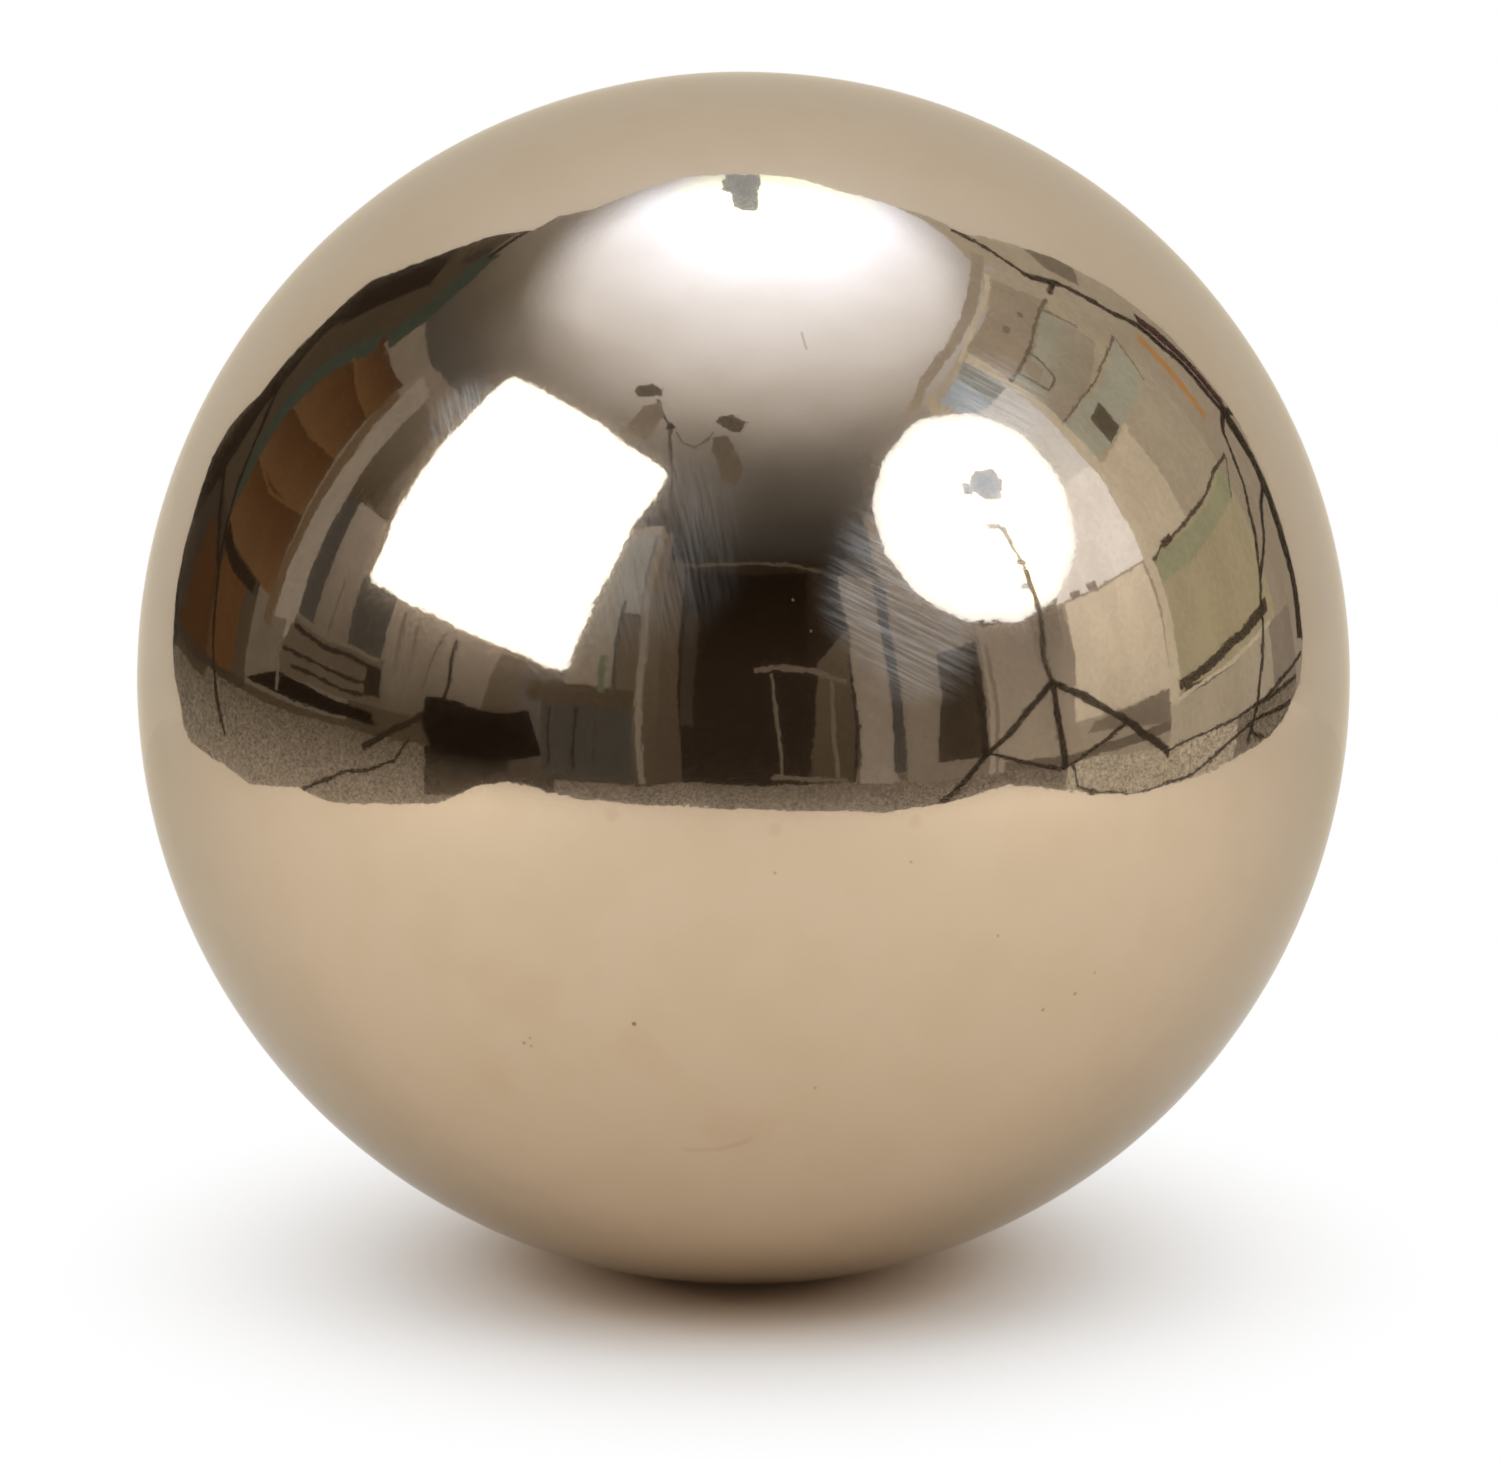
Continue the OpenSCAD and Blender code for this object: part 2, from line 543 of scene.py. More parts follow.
for stop, (where, level) in zip(falloff.color_ramp.elements, ceiling_levels):
    coolness = min(2.0, 1.08 + 0.32 * level * ceiling_strength)
    stop.position = where
    stop.color = (level * coolness ** -0.36, level, level * coolness ** 0.64, 1)
put(falloff.inputs["Fac"], number("ADD", vector("LENGTH", lit_patch.outputs["Vector"]), unevenness))
from_middle = vector("DISTANCE", place, (0.04 * overhead, 0.0, ceiling_height))
depth = nodes.new("ShaderNodeSeparateXYZ")
links.new(place, depth.inputs["Vector"])
towards_back = ranged(depth.outputs["Y"], -0.45 * overhead, 0.35 * overhead, 0.15, 1.0)
off_left = ranged(depth.outputs["X"], -1.0 * overhead, -0.72 * overhead, 0.72, 1.0)
off_right = ranged(depth.outputs["X"], -0.2 * overhead, 0.5 * overhead, 1.0, 0.6)
darkest = number("MULTIPLY", towards_back, number("MULTIPLY", off_left, off_right))
# painted shade at the rim of the lit patch, most at the back and to the left
dark_round = ranged(from_middle, 0.44 * overhead, 0.70 * overhead, 0.0, darkest)
shaded = mixed("MULTIPLY", dark_round, falloff.outputs["Color"], edge_shade)
# painted shade over a patch towards the camera
from_dim_end = vector("DISTANCE", place, (0.26 * overhead, -1.0 * overhead, ceiling_height))
dim_end = ranged(from_dim_end, 0.1 * overhead, 0.4 * overhead, 0.35, 0.0)
shaded = mixed("MULTIPLY", dim_end, shaded, dim_end_shade)
links.new(shaded, nodes["glow"].inputs["Color"])
ceiling.data.materials.append(ceiling_paint)
only_in_the_mirror(ceiling, lights_the_ground=False)

# Studio walls
# Plain dim walls, openings, boards and a glazed niche close the room in front of the ball, so that the
# mirror keeps a dark band between the white ground and the lit ceiling. Floor and wall panels glow, and
# their tones carry the room's light and shade painted in, such as the painted shadow under the bag.
# Each panel is given by its four corners as seen from the ball, and later ones stand nearer.
shades = {
    "black": (26, 19, 13), "soot": (40, 31, 23), "umber": (55, 45, 35), "bark": (63, 52, 39),
    "shade": (77, 65, 51), "drab": (91, 78, 63), "stone": (106, 92, 76), "putty": (121, 106, 90),
    "sand": (137, 120, 100), "clay": (152, 135, 112), "pale": (176, 157, 130), "cream": (202, 180, 152),
    "ash": (182, 172, 161), "chalk": (200, 188, 174), "plaster": (220, 204, 188), "walnut": (64, 43, 26),
    "oak": (76, 52, 32), "ochre": (86, 61, 39), "russet": (84, 66, 48), "maroon": (60, 38, 35),
    "amber": (158, 112, 66), "teal": (54, 56, 45), "fern": (77, 78, 59), "slate": (60, 54, 46),
    "pewter": (94, 88, 82), "nickel": (136, 131, 127), "fog": (118, 113, 101), "ice": (140, 144, 145),
    "mist": (166, 171, 178), "glass": (143, 136, 116), "moss": (134, 127, 98), "olive": (149, 133, 103),
}
wear = {
    "studio_floor": {"upright": 3.0, "broad": 70, "fine": 220, "contrast": 0.65},
    "studio_walls": {"upright": 0.35, "broad": 9, "fine": 60, "contrast": 0.08},
}
panel_step = 3.0
wall_distance, wall_layer = 1.25 * reach, 0.0015 * reach


def wall_tone_of(shade):
    """The light that a wall sends out to show in the warm mirror as the given shade."""
    return [(value / 255) ** 2.2 / metal_share for value, metal_share in zip(shades[shade], champagne)]


def wall_panel(name, corners, low_shade, high_shade, distance, paint):
    """A panel between four directions, from its foot's left corner round to its top's left corner."""
    low_left, low_right, high_right, high_left = (np.array(corner, float) for corner in corners)
    low_tone, high_tone = np.array(wall_tone_of(low_shade)), np.array(wall_tone_of(high_shade))
    columns = max(1, math.ceil((low_right - low_left)[0] / panel_step))
    rows = max(1, math.ceil((high_left - low_left)[1] / panel_step))
    points, faces, tones = [], [], []
    for row in range(rows + 1):
        up = row / rows
        for column in range(columns + 1):
            along = column / columns
            foot = low_left + (low_right - low_left) * along
            head = high_left + (high_right - high_left) * along
            points.append(seen_from_ball(*(foot + (head - foot) * up), distance))
            tones.append(low_tone + (high_tone - low_tone) * up)
    for row in range(rows):
        for column in range(columns):
            first = row * (columns + 1) + column
            faces.append((first, first + 1, first + columns + 2, first + columns + 1))
    panel = stage_mesh(name, points, faces)
    set_tones(panel, tones)
    panel.data.materials.append(paint)
    only_in_the_mirror(panel, lights_the_ground=False)


def block(left, right, low, high):
    return [(left, low), (right, low), (right, high), (left, high)]


floors = [
    ("floor", block(-150, 150, -20, -4), "stone", "shade"),
    ("floor_left", block(-150, -60, -18, -4), "sand", "shade"),
    ("floor_middle", block(-62, 32, -14, -5), "putty", "shade"),
    # a painted shadow on the floor under the bag
    ("painted_bag_shadow", [(-61, -12.5), (-35, -12), (-35, -5), (-61, -5)], "shade", "black"),
    ("floor_right_near", block(30, 64, -16, -5), "putty", "drab"),
    ("floor_right", block(62, 106, -17, -6), "clay", "clay"),
    ("floor_right_far", block(105, 150, -16, -5), "stone", "stone"),
]
walls = [
    ("back_wall", block(-150, 150, -5, 33), "bark", "bark"),
    ("far_left_wall", [(-150, -6), (-121, -6), (-117, 43), (-150, 55)], "bark", "bark"),
    ("left_wall", [(-122, -4), (-79, -4), (-79, 46.5), (-118, 42.5)], "drab", "stone"),
    ("board_1", [(-124.5, 7.8), (-103, 7), (-103, 17.6), (-124.5, 14.8)], "ochre", "walnut"),
    ("board_2", [(-124.5, 14.8), (-103, 17.6), (-103, 25.9), (-125, 21)], "ochre", "walnut"),
    ("board_3", [(-125, 21), (-103, 25.9), (-103.5, 32.7), (-121, 31.3)], "ochre", "walnut"),
    ("board_4", [(-121, 31.3), (-103.5, 32.7), (-103, 38.7), (-120.5, 36.3)], "ochre", "walnut"),
    ("chest_back", [(-138, -5), (-107, -5), (-107, 7.3), (-138, 8)], "umber", "umber"),
    ("chest_left", [(-134, -4), (-122, -4), (-122, 3.5), (-131, 6)], "walnut", "walnut"),
    ("chest_right", [(-121.5, -4), (-111.5, -4), (-111.5, 5.4), (-122, 5.8)], "oak", "oak"),
    ("chest_side", block(-111.5, -107, -4, 5.5), "bark", "bark"),
    ("left_wall_pale", block(-101, -94.5, 4, 42), "putty", "putty"),
    ("left_wall_foot", [(-107, 0), (-97, 0.5), (-97, 6), (-103, 5)], "drab", "drab"),
    ("window_left", block(-94.5, -80, 25, 41), "bark", "drab"),
    ("window_bright", [(-86, 26), (-80, 26), (-80, 38), (-84, 40)], "shade", "stone"),
    ("window_low", block(-94.5, -90, 7.5, 25), "slate", "slate"),
    ("window_pale", block(-90, -81, 7, 25.5), "drab", "putty"),
    ("dark_recess", block(-81, -72, 6.5, 17), "slate", "slate"),
    ("hanging_cloth", [(-72, -1), (-44, 1), (-42, 15), (-72, 17)], "shade", "putty"),
    ("cloth_shade", [(-50, 2), (-42, 2), (-42, 14), (-46, 14)], "bark", "drab"),
    ("slats", [(-98, -0.6), (-71, -0.6), (-71, 6.6), (-95, 7.2)], "shade", "shade"),
    ("slat_end", block(-75, -71.5, 0.8, 5), "soot", "soot"),
    ("slat_gap", [(-107, -3.4), (-72, -3.6), (-73, -1.6), (-97, -0.6)], "black", "black"),
    ("middle_left_wall", [(-44, -8), (-17, -8), (-17, 38), (-40, 38)], "bark", "pewter"),
    ("box_top", block(-41, -20.3, 5.5, 9.2), "bark", "bark"),
    ("low_grey_box", block(-37.5, -20.3, -7.5, 5.5), "slate", "slate"),
    ("pane", block(-34, -20, 9, 38), "stone", "fog"),
    ("pane_low", block(-24, -20, 9, 22), "shade", "shade"),
    ("frame_body", [(-19, -8), (-16.2, -8), (-15.8, 38), (-18, 38)], "bark", "drab"),
    ("door_leaf", [(-16.4, -7.5), (-11.5, -7.5), (-11.5, 26), (-15.8, 30)], "bark", "shade"),
    ("dark_opening", [(-11.5, -7.5), (21, -7.5), (21, 33), (-13, 33)], "soot", "soot"),
    ("opening_edge", block(-11.5, -9, 3, 24), "umber", "umber"),
    ("opening_depth", [(-8, 10), (12, 10), (13, 31), (-10, 31)], "soot", "black"),
    ("opening_side", [(12, -7.5), (20.5, -7.5), (20, 20), (14, 14)], "bark", "shade"),
    ("column", [(21.8, -8), (28.2, -8), (27, 28.5), (19.6, 29.5)], "putty", "stone"),
    ("middle_right_wall", [(30, -8), (47, -8), (47, 36), (28, 40)], "stone", "stone"),
    ("door", [(36.2, -5), (45.6, -5), (45.2, 15), (37, 14)], "umber", "umber"),
    ("right_wall", [(46, -8), (90, -8), (88, 57.5), (60, 56)], "sand", "clay"),
    ("right_wall_low", block(46, 65, -8, 17), "sand", "putty"),
    ("pole_shade", [(57, 8), (63, 10), (64, 18), (57, 17)], "putty", "stone"),
    ("right_wall_bright", [(64, 17.4), (88, 17.4), (87.5, 32.5), (74, 32.5)], "plaster", "plaster"),
    ("right_wall_high", [(72, 32.5), (87.5, 32.5), (85.5, 50), (70, 50)], "chalk", "ash"),
    ("cream_board", [(64, -1.5), (87, -0.8), (87, 17), (66, 17)], "pale", "cream"),
    ("wall_box", [(66.5, -3.8), (86.5, -5.2), (86.5, -0.6), (68, -2.2)], "stone", "stone"),
    ("high_window", [(69, 49.6), (85, 48.8), (83.3, 56), (64.5, 54.2)], "ice", "ice"),
    ("high_window_end", [(77, 49.2), (85, 48.8), (83.3, 56), (76, 55.4)], "fog", "fog"),
    ("niche", block(88, 124, -1, 54), "olive", "clay"),
    ("niche_head", [(89, 48.6), (121, 44.6), (121, 53.2), (88, 57)], "sand", "sand"),
    ("glass_top", [(89.5, 39.4), (118, 37.6), (118, 46), (89.5, 48.7)], "sand", "glass"),
    ("bracket_patch", block(94, 98.5, 45.3, 48), "sand", "sand"),
    ("glass_middle", [(89.5, 32.6), (118.5, 30), (123, 34.3), (89.5, 39.2)], "glass", "glass"),
    ("glass_label", block(96.7, 101.8, 32, 36.3), "shade", "shade"),
    ("label_top", block(96.7, 101.5, 36.4, 38.6), "glass", "glass"),
    ("niche_wall_left", block(89.8, 104, 17, 31.5), "pale", "pale"),
    ("niche_wall_right", block(103, 121, 17, 30.6), "clay", "clay"),
    ("glass_low", [(90, 13), (119, 12.7), (124.5, 15.3), (90, 16.8)], "moss", "moss"),
    ("niche_panel", block(89.5, 119.5, 0.5, 13), "olive", "olive"),
    ("niche_foot", [(86, -8.5), (119, -7), (119, -0.2), (86, -2.6)], "clay", "clay"),
    ("right_pillar", block(121, 128, -1, 51), "sand", "clay"),
    ("niche_foot_right", [(118, -7.4), (133, -6), (132, -1), (118, -0.2)], "putty", "putty"),
    ("far_right_wall", [(127, -9), (150, -9), (150, 57), (127, 54)], "sand", "clay"),
    ("far_right_shade", [(131.5, 37), (137, 36), (137, 43), (132, 42)], "stone", "stone"),
]
worn_paints = {}
layer = 0
for name, panels in (("studio_floor", floors), ("studio_walls", walls)):
    # a toned glow with broad wear, drawn out level or upright, and a fine grain
    worn_paints[name] = toned_paint(name, 1.0)
    nodes, links = worn_paints[name].node_tree.nodes, worn_paints[name].node_tree.links
    place = nodes.new("ShaderNodeTexCoord").outputs["Object"]
    drawn_out = vector("MULTIPLY", place, (1.0, 1.0, wear[name]["upright"]))
    broad_wear = cloud(drawn_out, wear[name]["broad"] / reach, 2.0)
    worn = number("ADD", broad_wear, cloud(place, wear[name]["fine"] / reach, 1.0))
    darkest, brightest = 1 - wear[name]["contrast"], 1 + wear[name]["contrast"]
    put(nodes["glow"].inputs["Strength"], ranged(worn, 0.7, 1.3, darkest, brightest))
    for panel in panels:
        wall_panel(*panel, distance=wall_distance - wall_layer * layer, paint=worn_paints[name])
        layer += 1

# Edges and lamp stands
# Thin tripods carry the lamps and the ends of the sheet, their flex lies over the floor, and shelves,
# frames and mouldings draw thin lines over the walls. The band at the boards' right edge is a painted
# shadow. All are flat strips that turn from point to point.
strips = [
    ("teal_edge_high", [(-131, 49.5), (-124, 46.5), (-119, 42), (-118, 37)], 3.6, "teal"),
    ("teal_edge_low", [(-120, 36), (-123, 30), (-126, 24), (-127, 18), (-126, 10)], 3.0, "teal"),
    ("board_line_high", [(-121, 31.4), (-112, 32.3), (-104, 32.8)], 0.5, "ochre"),
    ("board_line_middle", [(-125, 21.1), (-117, 23.8), (-103.5, 26)], 0.4, "ochre"),
    ("board_line_low", [(-124.5, 14.9), (-115, 15.4), (-103.5, 17.7)], 0.4, "ochre"),
    # a painted shadow band at the boards' right edge
    ("painted_board_shadow", [(-102.3, 38), (-101, 28), (-101.3, 15), (-103, 4)], 2.2, "russet"),
    ("chest_top", [(-124, 7), (-116, 6.4), (-109, 6.2)], 1.6, "soot"),
    ("window_bar", [(-85.5, 7), (-85.3, 15)], 0.4, "shade"),
    ("cloth_fold_1", [(-68.5, 2), (-68.8, 15)], 0.8, "drab"),
    ("cloth_fold_2", [(-65.5, 2), (-65.2, 14)], 0.6, "drab"),
    ("cloth_fold_3", [(-59.3, 14), (-61, 8), (-62, 4)], 0.5, "shade"),
    ("slat_top", [(-95, 7), (-72, 6.4)], 0.6, "drab"),
    ("slat_line_1", [(-95, 5.9), (-72, 5)], 0.7, "soot"),
    ("slat_line_2", [(-97, 2.7), (-74, 2.5)], 0.5, "soot"),
    ("slat_line_3", [(-94, 0.9), (-75, 0.7)], 0.5, "soot"),
    ("slat_post", [(-97.2, 1), (-97.2, -3)], 0.8, "drab"),
    ("box_line_1", [(-36, -6), (-36, 5)], 0.4, "soot"),
    ("box_line_2", [(-31.5, -6), (-31.5, 5)], 0.4, "soot"),
    ("box_line_3", [(-27.5, -6), (-27.5, 5)], 0.4, "umber"),
    ("pane_green", [(-26.5, 8), (-26.5, 15)], 1.4, "fern"),
    ("pane_upright", [(-24.1, 8), (-24, 25)], 0.7, "slate"),
    ("pane_bar", [(-24, 22.3), (-20, 22.3)], 0.8, "bark"),
    ("frame_top", [(-25.5, 37.4), (-18.2, 38.4)], 1.3, "putty"),
    ("frame_upright", [(-18.4, 38.4), (-19.2, 22), (-19.5, 8), (-18.6, -7.5)], 1.2, "stone"),
    ("opening_top", [(-15, 32), (-6, 32.8), (2, 33), (10, 32.4), (16, 31)], 0.5, "shade"),
    ("trestle_board", [(2, 13.5), (6, 14.2), (19.5, 10.8)], 1.0, "drab"),
    ("trestle_leg_1", [(7.3, -6), (5.4, 13)], 0.7, "drab"),
    ("trestle_leg_2", [(17, -6.6), (16.3, 11)], 0.7, "drab"),
    ("trestle_foot", [(5, -6), (19, -7.1)], 0.6, "drab"),
    ("column_gap", [(28.6, -6), (28.4, 10), (28, 27)], 2.2, "slate"),
    ("door_side", [(45, -5), (44.8, 3), (44, 12)], 1.4, "soot"),
    ("right_wall_line", [(47.6, -8), (47.2, 14)], 0.8, "stone"),
    ("board_clip_1", [(67.5, 17.6), (70, 17.6)], 1.2, "putty"),
    ("board_clip_2", [(72, 18), (74.5, 17.8)], 1.0, "putty"),
    ("skirting", [(49, -7.2), (62, -7.4), (75, -6.3), (85.7, -5.6)], 1.5, "drab"),
    ("pillar", [(85.8, 56), (87, 48), (88.3, 38), (89, 28), (88.9, 12), (88, 0), (87, -2.5)], 2.2, "pale"),
    ("niche_spot_1", [(103, 51.6), (105.5, 51.6)], 1.0, "stone"),
    ("niche_spot_2", [(111.3, 49.3), (113, 49.3)], 0.8, "stone"),
    ("glass_top_edge", [(88, 48.9), (100, 48.4), (110, 47.4), (117, 46), (122, 44.4)], 0.5, "drab"),
    ("glass_top_end", [(117.3, 46), (118.5, 40)], 0.4, "stone"),
    ("bracket", [(92.3, 48.4), (94.3, 43.4), (99, 43.2), (101.2, 48.4)], 0.5, "drab"),
    ("glass_middle_edge", [(89, 39.3), (100, 38.7), (111, 37), (123, 34.3)], 0.35, "drab"),
    ("glass_middle_end", [(123, 34.3), (118, 29.8)], 0.35, "stone"),
    ("glass_low_edge", [(90, 16.3), (93, 17.2), (105, 17.1), (117, 16.4), (124.5, 15.2)], 0.5, "umber"),
    ("glass_low_end", [(124.5, 15.2), (119, 12.9)], 0.35, "shade"),
    ("glass_blob", [(93.5, 17.3), (97, 17.3)], 1.2, "maroon"),
    ("niche_line", [(88.6, -0.6), (95, 0.1), (105, 0.9), (119, 1.5)], 1.3, "umber"),
    ("niche_foot_edge", [(86.5, -2.6), (95, -1.4), (119, -0.2)], 0.5, "pale"),
    ("cornice", [(53, 54.6), (59, 56.6), (65, 58.2), (78, 59), (92, 58.7), (105, 57.4), (120, 54.8),
                 (130, 52)], 1.5, "sand"),
    ("cornice_edge", [(82, 56.6), (92, 57), (104, 56.3), (123, 52.6)], 0.7, "pale"),
    ("amber_strap", [(128.2, 29.5), (127, 25), (125.8, 19)], 1.8, "amber"),
    ("round_lamp_hook", [(55.6, 33.2), (58, 32.4), (59, 31)], 0.8, "mist"),
    ("round_lamp_rod", [(58.8, 32), (59.5, 26), (59.8, 20)], 0.8, "ice"),
    ("round_lamp_knob_1", [(58.4, 25.6), (60.6, 25.2)], 1.0, "fog"),
    ("round_lamp_knob_2", [(57.6, 22), (59.4, 21.4)], 0.9, "mist"),
    ("round_lamp_pole", [(59.6, 24), (59.8, 20), (58.6, 10), (59.4, 5.5)], 1.1, "umber"),
    ("round_lamp_foot", [(59.4, 6), (60, 0), (61.6, -9)], 1.5, "soot"),
    ("round_lamp_leg_left", [(59.4, 5.5), (46, -4), (36, -13)], 1.2, "soot"),
    ("round_lamp_leg_right", [(59.4, 5.5), (75, -3), (86, -9.6)], 1.2, "soot"),
    ("round_lamp_brace_left", [(61, -9), (52, -6.5), (46, -4.5)], 0.7, "soot"),
    ("round_lamp_brace_right", [(61, -9), (68, -6.5), (76, -3.6)], 0.7, "soot"),
    ("square_lamp_pole", [(-56.2, 13), (-56.5, 6), (-57.5, 2)], 0.9, "soot"),
    ("square_lamp_leg", [(-57, 2.5), (-65, -2), (-75, -7)], 1.1, "soot"),
    ("flex_left", [(-64, -4.5), (-68, -8), (-75, -10.5), (-80, -11.3), (-91, -14.5)], 0.5, "soot"),
    ("left_stand_arm", [(-138, 52), (-134, 50.5), (-130, 49)], 1.0, "soot"),
    ("left_stand_knob", [(-133, 48.5), (-131.5, 45)], 1.6, "umber"),
    ("left_stand_high", [(-132.5, 42), (-134.5, 34), (-137, 28)], 7.0, "soot"),
    ("left_stand_middle", [(-137.5, 29), (-137, 22), (-136, 17), (-136, 10)], 5.0, "soot"),
    ("left_stand_low", [(-136, 12), (-138, 7), (-141, 3)], 5.0, "soot"),
    ("left_stand_foot", [(-142.3, 5), (-140.5, 1), (-137.5, -3.5), (-135.5, -6)], 1.8, "soot"),
    ("left_stand_arch", [(-138, 7), (-134, 8), (-127, 6), (-122, 3.5)], 0.9, "soot"),
    ("left_stand_leg", [(-135, 18.5), (-130, 15), (-126, 9), (-122, 3), (-117.5, -5), (-113.5, -10.5)],
     0.9, "soot"),
    ("right_stand_arm", [(138, 52.5), (131, 49), (127, 45.8)], 0.9, "soot"),
    ("right_stand_high", [(127, 45.8), (129, 41), (129.5, 33), (131, 29)], 1.0, "soot"),
    ("right_stand_branch", [(124.5, 43.5), (129, 41.8)], 0.7, "soot"),
    ("right_stand_strap", [(133, 28.5), (133.8, 20), (134.2, 15)], 1.8, "maroon"),
    ("right_stand_middle", [(131, 29), (132, 20), (132.6, 14)], 1.2, "soot"),
    ("right_stand_low", [(132.6, 15), (132.9, 10), (131.3, 0), (130, -4.5)], 2.6, "soot"),
    ("right_stand_leg", [(135.5, 13.5), (133, 15.5), (128.5, 15.7), (119, 4.5), (109, -11)], 0.9, "soot"),
    ("right_stand_brace", [(134, 8), (128, 7.7), (119, 4)], 0.8, "soot"),
    ("flex_right_1", [(63, -8.5), (65, -12), (72, -13.5), (77, -14.3), (85, -13.5), (93, -12.5)],
     0.5, "soot"),
    ("flex_right_2", [(93, -12.5), (100, -10.5), (110, -8.8), (126, -8.8)], 0.5, "soot"),
    ("flex_right_far", [(86, -9), (105, -7.2), (127, -7)], 0.4, "soot"),
    ("flex_right_high", [(105, -7.4), (118, -6.6), (130, -5.6)], 0.4, "soot"),
    ("flex_right_loop", [(109, -9), (111, -10.3), (115, -11.2), (125, -9.2)], 0.5, "soot"),
    ("boom_pole", [(-31.2, 62.8), (-25.8, 59.5), (-22.9, 58.2), (-20.4, 53.2), (-18.3, 48.3), (-17.6, 39)],
     0.6, "bark"),
    ("boom_knob", [(-23.6, 58.4), (-21.8, 57.6)], 1.6, "umber"),
    ("boom_flex", [(-20.4, 57.2), (-17.4, 55.5), (-13.8, 54.7), (-11.1, 55.9), (-9.7, 57.8)], 0.3, "shade"),
]
strip_step = 2.0
strip_distance, strip_layer = 0.98 * reach, 0.0003 * reach


def wall_strip(name, corners, width, shade, distance):
    """A flat strip of one width, in degrees, that runs through the given directions."""
    route = []
    for (a0, e0), (a1, e1) in zip(corners, corners[1:]):
        steps = max(1, math.ceil(math.hypot(a1 - a0, e1 - e0) / strip_step))
        route += [(a0 + (a1 - a0) * s / steps, e0 + (e1 - e0) * s / steps) for s in range(steps)]
    route.append(corners[-1])
    middle = [seen_from_ball(a, e, distance) for a, e in route]
    points, faces = [], []
    half = math.radians(width) * distance / 2
    for index, point in enumerate(middle):
        ahead = middle[min(index + 1, len(middle) - 1)] - middle[max(index - 1, 0)]
        side = ahead.cross(point - ball_centre).normalized() * half
        points += [point - side, point + side]
        if index:
            faces.append((2 * index - 2, 2 * index - 1, 2 * index + 1, 2 * index))
    strip = stage_mesh(name, points, faces)
    set_tones(strip, [wall_tone_of(shade)] * len(points))
    strip.data.materials.append(worn_paints["studio_walls"])
    only_in_the_mirror(strip, lights_the_ground=False)


for layer, strip in enumerate(strips):
    wall_strip(*strip, distance=strip_distance - strip_layer * layer)

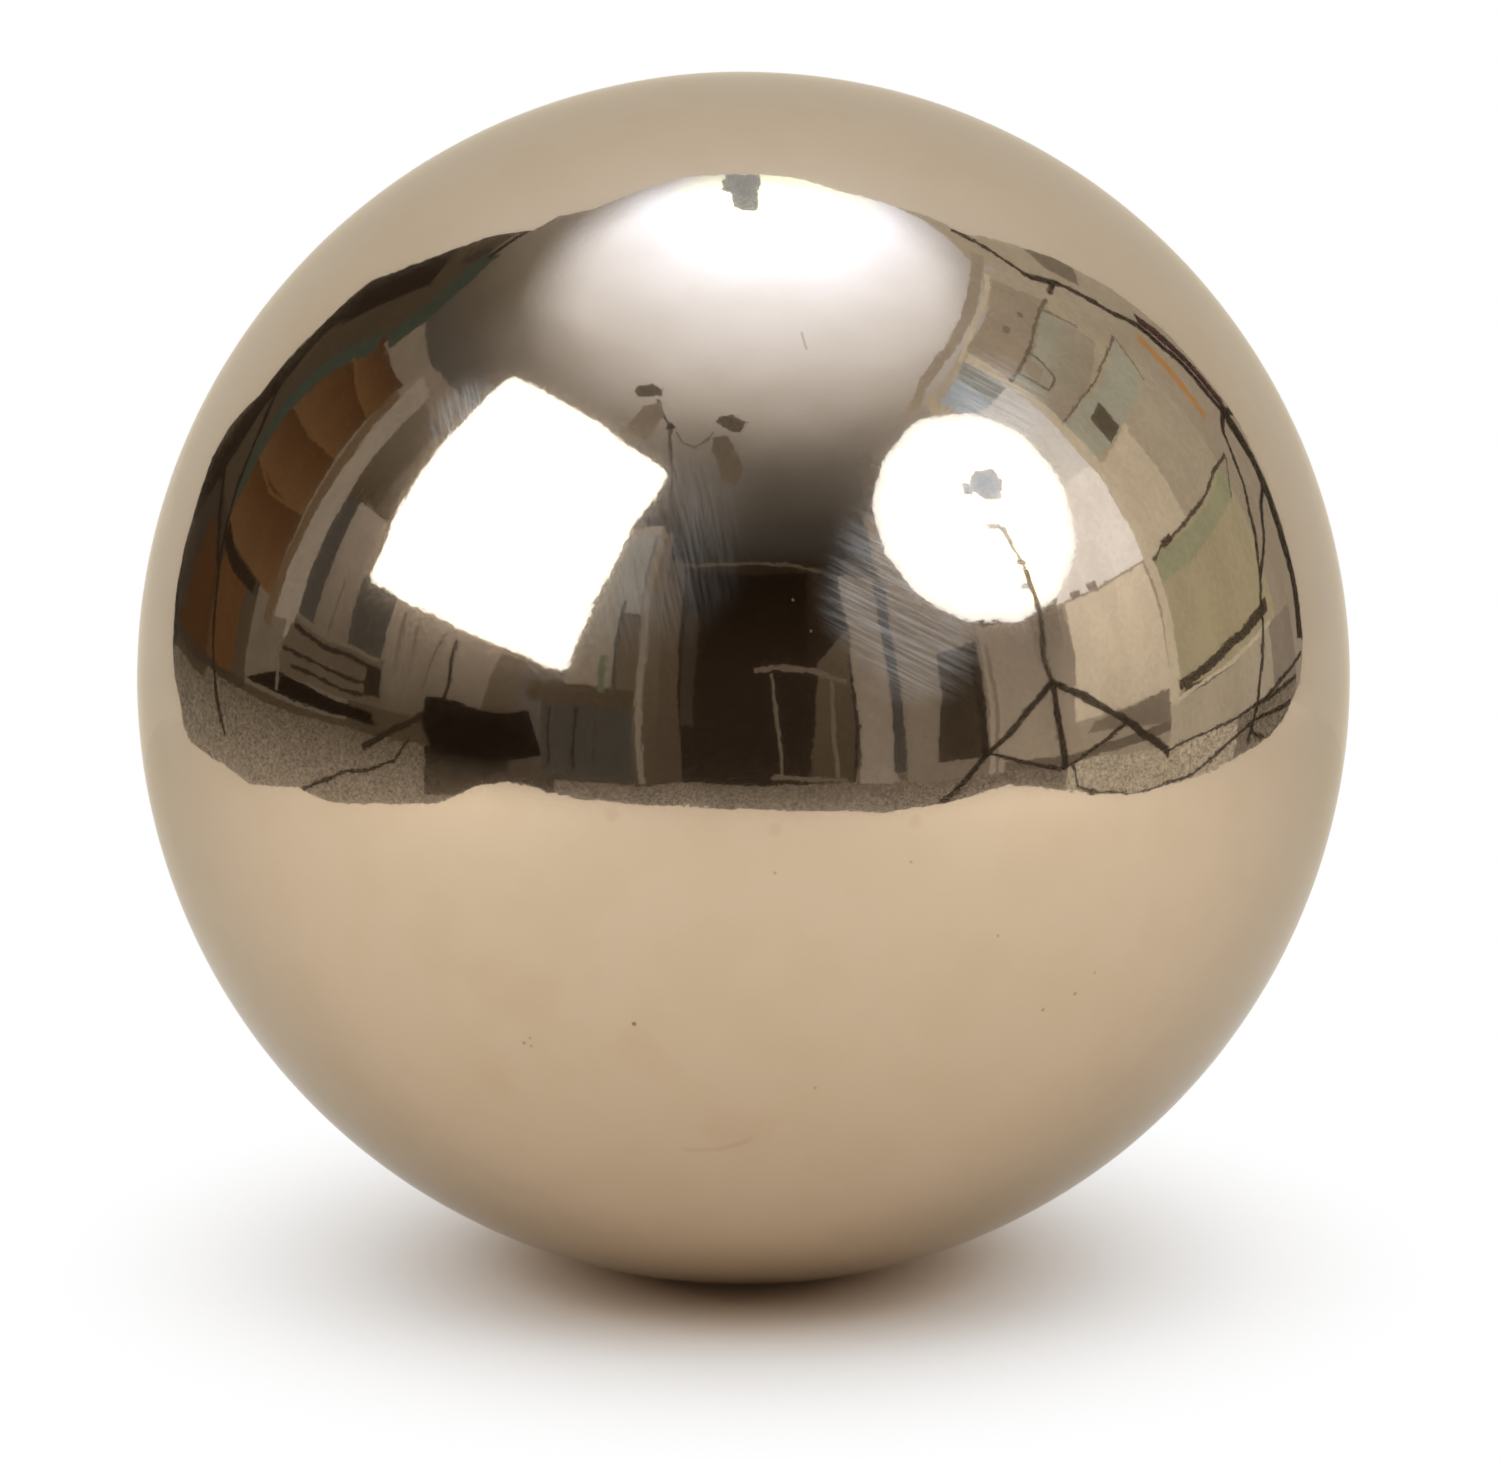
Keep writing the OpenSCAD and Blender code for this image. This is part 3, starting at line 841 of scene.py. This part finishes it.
# Bag, lamp heads and clamps
# A limp dark bag stands on the floor by the square lamp. Small metal heads and clamps hang from the ends
# of the stands, against the round lamp and the ceiling, and the shadows that the two clamps throw on the
# ceiling are painted in as outlines. All are flat outlines, seen in the mirror only.
outline_distance = 0.94 * reach
flat_outlines = [
    ("dark_bag", [(-61, 3.2), (-54, 3.3), (-48.5, 2.6), (-44, 2.9), (-40.2, 3.9), (-39, 1), (-37.2, -3.8),
                  (-42, -5), (-48, -5), (-55, -5.2), (-60, -5), (-61.5, -1)], "black"),
    ("round_lamp_head", [(56, 39), (58, 36.5), (62, 36), (64, 38), (64.6, 41), (60, 42), (57, 41)], "mist"),
    ("round_lamp_socket", [(53.6, 39), (56, 38), (56.4, 40.4), (54.6, 41)], "mist"),
    ("ceiling_lamp_head", [(174.5, 69), (175.5, 66), (175.5, 62), (176.5, 59), (184, 59), (185, 61),
                           (186, 63.8), (184, 65), (183.5, 69), (181, 70.5), (176, 70.3)], "nickel"),
    # painted shadow that the high clamp throws on the ceiling
    ("high_clamp_shade", [(-34.2, 60.8), (-30.1, 62.5), (-26.6, 60.2), (-27.6, 58.2), (-28.9, 54.8),
                          (-34.7, 54.0), (-37.2, 54.3), (-35.3, 58.6)], "stone"),
    ("high_clamp", [(-41.6, 64.3), (-37.5, 65.3), (-30.8, 64.8), (-30.3, 63.5), (-38.1, 62.1),
                    (-41.2, 62.9)], "shade"),
    # painted shadow that the low clamp throws on the ceiling
    ("low_clamp_shade", [(-9.4, 56.6), (-4.8, 57.1), (-2.2, 54.2), (-0.1, 51.1), (-1.9, 47.7), (-5.9, 48.4),
                         (-7.5, 52.3), (-9.2, 54.2)], "drab"),
    ("low_clamp", [(-9.2, 59.8), (-7.5, 61.5), (-3.0, 61.8), (1.5, 60.2), (-0.8, 58.0), (-3.4, 58.1)],
     "shade"),
]
for name, outline, shade in flat_outlines:
    corners = [seen_from_ball(a, e, outline_distance) for a, e in outline]
    flat_piece = stage_mesh(name, corners, [tuple(range(len(corners)))])
    set_tones(flat_piece, [wall_tone_of(shade)] * len(corners))
    flat_piece.data.materials.append(worn_paints["studio_walls"])
    only_in_the_mirror(flat_piece, lights_the_ground=False)

# Camera
# It looks down on the ball a little, from in front and from a good distance, so that the outline is a
# plain circle and the ball fills most of the picture.
picture_width, picture_height = 1500, 1460
camera_data = bpy.data.cameras.new("camera")
camera = bpy.data.objects.new("camera", camera_data)
bpy.context.scene.collection.objects.link(camera)
bpy.context.scene.camera = camera
camera.location = ball_centre + to_camera * camera_distance
camera_data.sensor_width = 36
camera_data.lens = camera_data.sensor_width / (picture_width * pixel)
aim_right = (picture_width / 2 - ball_x_px) * pixel
aim_down = (picture_height / 2 - ball_y_px) * pixel
aim = picture_right * aim_right - picture_up * aim_down - to_camera
camera.rotation_mode = "QUATERNION"
camera.rotation_quaternion = aim.to_track_quat("-Z", "Y")
camera_data.clip_end = 10 * reach

# Air
# The open air round the stage is plain white to the camera and in the mirror. For everything else it is
# a soft fill that comes mostly from above, as from a pale ceiling, so the ball's shadow stays light.
fill_from_sides, fill_from_above = 0.2, 0.95
world = bpy.data.worlds.new("studio")
bpy.context.scene.world = world
world.use_nodes = True
world.cycles.sampling_method = "NONE"
nodes, links = world.node_tree.nodes, world.node_tree.links
height = nodes.new("ShaderNodeSeparateXYZ")
links.new(nodes.new("ShaderNodeTexCoord").outputs["Generated"], height.inputs["Vector"])
fill = ranged(height.outputs["Z"], 0.0, 1.0, fill_from_sides, fill_from_above)
put(nodes["Background"].inputs["Strength"], ranged(seen_or_mirrored(), 0.0, 1.0, fill, 1.0))
nodes["Background"].inputs["Color"].default_value = (1, 1, 1, 1)
bpy.context.scene.view_settings.view_transform = "Standard"
